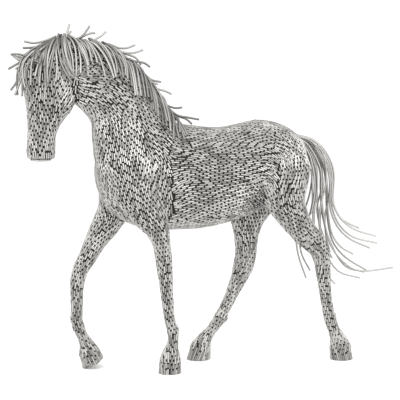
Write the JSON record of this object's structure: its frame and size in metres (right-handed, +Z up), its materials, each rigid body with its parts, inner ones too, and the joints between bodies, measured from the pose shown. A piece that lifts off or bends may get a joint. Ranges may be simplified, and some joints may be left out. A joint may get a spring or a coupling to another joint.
{
  "type": "metal pipe horse sculpture",
  "caption": "Walking horse sculpture with a hollow skin of short steel pipes laid side by side, and a mane, forelock and tail of long bent pipes.",
  "frame": {"origin": "on the floor, in the middle of the sculpture's bounding box", "axes": "+Z up; the head looks towards -X and the tail trails towards +X; the animal's left side, the near side, faces -Y"},
  "size_m": [2.0604, 0.4388, 1.706],
  "materials": {
    "skin_steel": "short lengths of brushed stainless steel pipe with open ends, laid side by side and tack-welded, warm light grey, with dark gaps between the ends",
    "mane_steel": "long bent lengths of brushed stainless steel pipe with cut ends",
    "tail_steel": "long bent lengths of brushed stainless steel pipe with cut ends"
  },
  "bodies": {
    "root": {"forelock_pipe_1": "mane_steel", "forelock_pipe_10": "mane_steel", "forelock_pipe_11": "mane_steel", "forelock_pipe_12": "mane_steel", "forelock_pipe_13": "mane_steel", "forelock_pipe_2": "mane_steel", "forelock_pipe_3": "mane_steel", "forelock_pipe_4": "mane_steel", "forelock_pipe_5": "mane_steel", "forelock_pipe_6": "mane_steel", "forelock_pipe_7": "mane_steel", "forelock_pipe_8": "mane_steel", "forelock_pipe_9": "mane_steel", "horse_body": "skin_steel", "mane_pipe_far_1": "mane_steel", "mane_pipe_far_10": "mane_steel", "mane_pipe_far_11": "mane_steel", "mane_pipe_far_12": "mane_steel", "mane_pipe_far_2": "mane_steel", "mane_pipe_far_3": "mane_steel", "mane_pipe_far_4": "mane_steel", "mane_pipe_far_5": "mane_steel", "mane_pipe_far_6": "mane_steel", "mane_pipe_far_7": "mane_steel", "mane_pipe_far_8": "mane_steel", "mane_pipe_far_9": "mane_steel", "mane_pipe_near_1": "mane_steel", "mane_pipe_near_10": "mane_steel", "mane_pipe_near_11": "mane_steel", "mane_pipe_near_12": "mane_steel", "mane_pipe_near_2": "mane_steel", "mane_pipe_near_3": "mane_steel", "mane_pipe_near_4": "mane_steel", "mane_pipe_near_5": "mane_steel", "mane_pipe_near_6": "mane_steel", "mane_pipe_near_7": "mane_steel", "mane_pipe_near_8": "mane_steel", "mane_pipe_near_9": "mane_steel", "tail_pipe_row_1_1": "tail_steel", "tail_pipe_row_1_2": "tail_steel", "tail_pipe_row_1_3": "tail_steel", "tail_pipe_row_1_4": "tail_steel", "tail_pipe_row_2_1": "tail_steel", "tail_pipe_row_2_2": "tail_steel", "tail_pipe_row_2_3": "tail_steel", "tail_pipe_row_2_4": "tail_steel", "tail_pipe_row_3_1": "tail_steel", "tail_pipe_row_3_2": "tail_steel", "tail_pipe_row_3_3": "tail_steel", "tail_pipe_row_3_4": "tail_steel", "tail_pipe_row_4_1": "tail_steel", "tail_pipe_row_4_2": "tail_steel", "tail_pipe_row_4_3": "tail_steel", "tail_pipe_row_4_4": "tail_steel", "tail_pipe_row_5_1": "tail_steel", "tail_pipe_row_5_2": "tail_steel", "tail_pipe_row_5_3": "tail_steel", "tail_pipe_row_5_4": "tail_steel"}
  },
  "joints": []
}
